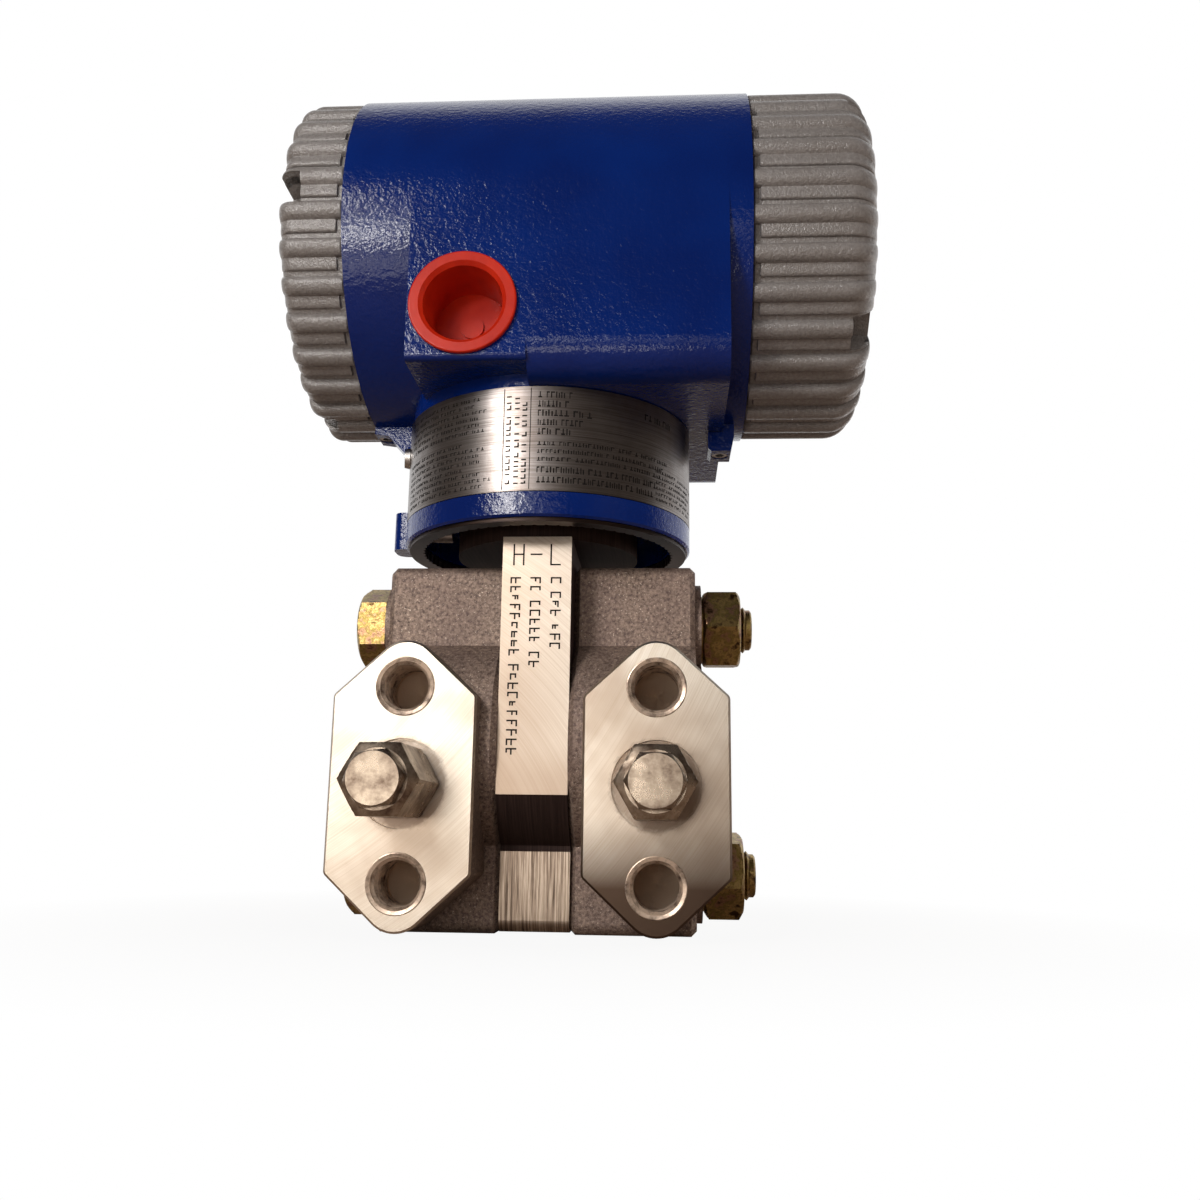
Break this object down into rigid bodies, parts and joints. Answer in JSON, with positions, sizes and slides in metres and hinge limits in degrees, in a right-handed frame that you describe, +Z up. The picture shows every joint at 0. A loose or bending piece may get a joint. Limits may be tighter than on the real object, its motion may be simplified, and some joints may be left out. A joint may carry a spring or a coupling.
{
  "type": "differential pressure transmitter",
  "caption": "Differential pressure transmitter: a two-compartment housing with screw-on covers on a sensor clamped between two flanged process covers.",
  "frame": {"origin": "centre of the rectangle of four process bolt holes, in the plane of the rear flange faces", "axes": "+Y out of the rear flange faces, +Z up along the neck, +X from the high side to the low side"},
  "size_m": [0.1364, 0.1012, 0.2067],
  "materials": {
    "blue_paint": "textured powder coat, semi-gloss",
    "grey_paint": "textured powder coat, satin",
    "cast_steel": "bead-blasted stainless casting",
    "slab_steel": "milled stainless",
    "band_steel": "brushed stainless",
    "bright_steel": "turned stainless",
    "plated_steel": "yellow zinc plate",
    "orange_plastic": "glossy polyethylene",
    "zinc_screw": "zinc plate",
    "black_rubber": "matt",
    "ring_polymer": "matt filled polymer",
    "window_glass": "clear",
    "black_plastic": "matt",
    "green_plastic": "matt potting cup",
    "grey_plastic": "matt",
    "display_pane": "display pane",
    "button_plastic": "satin"
  },
  "bodies": {
    "sensor": {"sensor_body": "slab_steel", "high_side_cover": "cast_steel", "low_side_cover": "cast_steel", "high_side_gasket": "ring_polymer", "low_side_gasket": "ring_polymer", "high_side_diaphragm": "bright_steel", "low_side_diaphragm": "bright_steel", "cover_bolts": "plated_steel", "cover_nuts": "plated_steel", "high_side_vent_plug": "bright_steel", "low_side_vent_plug": "bright_steel", "neck_oring": "black_rubber", "lead_header": "bright_steel"},
    "topworks": {"housing": "blue_paint", "nameplate_band": "band_steel", "nameplate_screws": "zinc_screw", "conduit_plug": "bright_steel", "lock_ring": "slab_steel", "terminal_cover_lock_screw": "zinc_screw", "display_cover_lock_screw": "zinc_screw", "retention_screw": "zinc_screw", "ground_washer": "zinc_screw", "outer_ground_screw": "zinc_screw", "inner_ground_screw": "zinc_screw", "electronics_module": "green_plastic", "module_screws": "zinc_screw", "display_module": "grey_plastic", "display_glass": "display_pane", "terminal_block": "black_plastic", "terminal_screws": "bright_steel"},
    "terminal_oring": {"terminal_cover_oring": "black_rubber"},
    "terminal_cover": {"terminal_cover": "grey_paint"},
    "display_oring": {"display_cover_oring": "black_rubber"},
    "display_cover": {"display_cover": "grey_paint", "window_glass": "window_glass", "window_ring": "black_plastic"},
    "dust_cap": {"conduit_dust_cap": "orange_plastic"},
    "high_vent": {"high_side_vent_screw": "bright_steel"},
    "low_vent": {"low_side_vent_screw": "bright_steel"},
    "next_button": {"next_button": "button_plastic"},
    "enter_button": {"enter_button": "button_plastic"}
  },
  "joints": [
    {"name": "housing_swivel", "type": "hinge", "parent": "sensor", "child": "topworks", "pos_m": [0, -0.0305, 0.07], "axis": [0, 0, 1], "range_deg": [-180, 180]},
    {"name": "terminal_cover_travel", "type": "slide", "parent": "topworks", "child": "terminal_oring", "axis": [-1, 0, 0], "range_m": [0, 0.0129]},
    {"name": "terminal_cover_turn", "type": "hinge", "parent": "terminal_oring", "child": "terminal_cover", "pos_m": [-0.05, -0.0305, 0.1321], "axis": [-1, 0, 0], "range_deg": [0, 2880]},
    {"name": "display_cover_travel", "type": "slide", "parent": "topworks", "child": "display_oring", "axis": [1, 0, 0], "range_m": [0, 0.0129]},
    {"name": "display_cover_turn", "type": "hinge", "parent": "display_oring", "child": "display_cover", "pos_m": [0.06, -0.0305, 0.1321], "axis": [1, 0, 0], "range_deg": [0, 2880]},
    {"name": "dust_cap_pull", "type": "slide", "parent": "topworks", "child": "dust_cap", "axis": [0, -1, 0], "range_m": [0, 0.016]},
    {"name": "high_vent_turn", "type": "hinge", "parent": "sensor", "child": "high_vent", "pos_m": [-0.027, -0.08, 0], "axis": [0, -1, 0], "range_deg": [0, 360]},
    {"name": "low_vent_turn", "type": "hinge", "parent": "sensor", "child": "low_vent", "pos_m": [0.027, -0.08, 0], "axis": [0, -1, 0], "range_deg": [0, 360]},
    {"name": "next_button_press", "type": "slide", "parent": "topworks", "child": "next_button", "axis": [-1, 0, 0], "range_m": [0, 0.0008], "stiffness_N_per_m": 400},
    {"name": "enter_button_press", "type": "slide", "parent": "topworks", "child": "enter_button", "axis": [-1, 0, 0], "range_m": [0, 0.0008], "stiffness_N_per_m": 400}
  ],
  "couplings": [
    {"joint": "terminal_cover_travel", "follows": "terminal_cover_turn", "m_per_rad": 0.00025465},
    {"joint": "display_cover_travel", "follows": "display_cover_turn", "m_per_rad": 0.00025465}
  ]
}
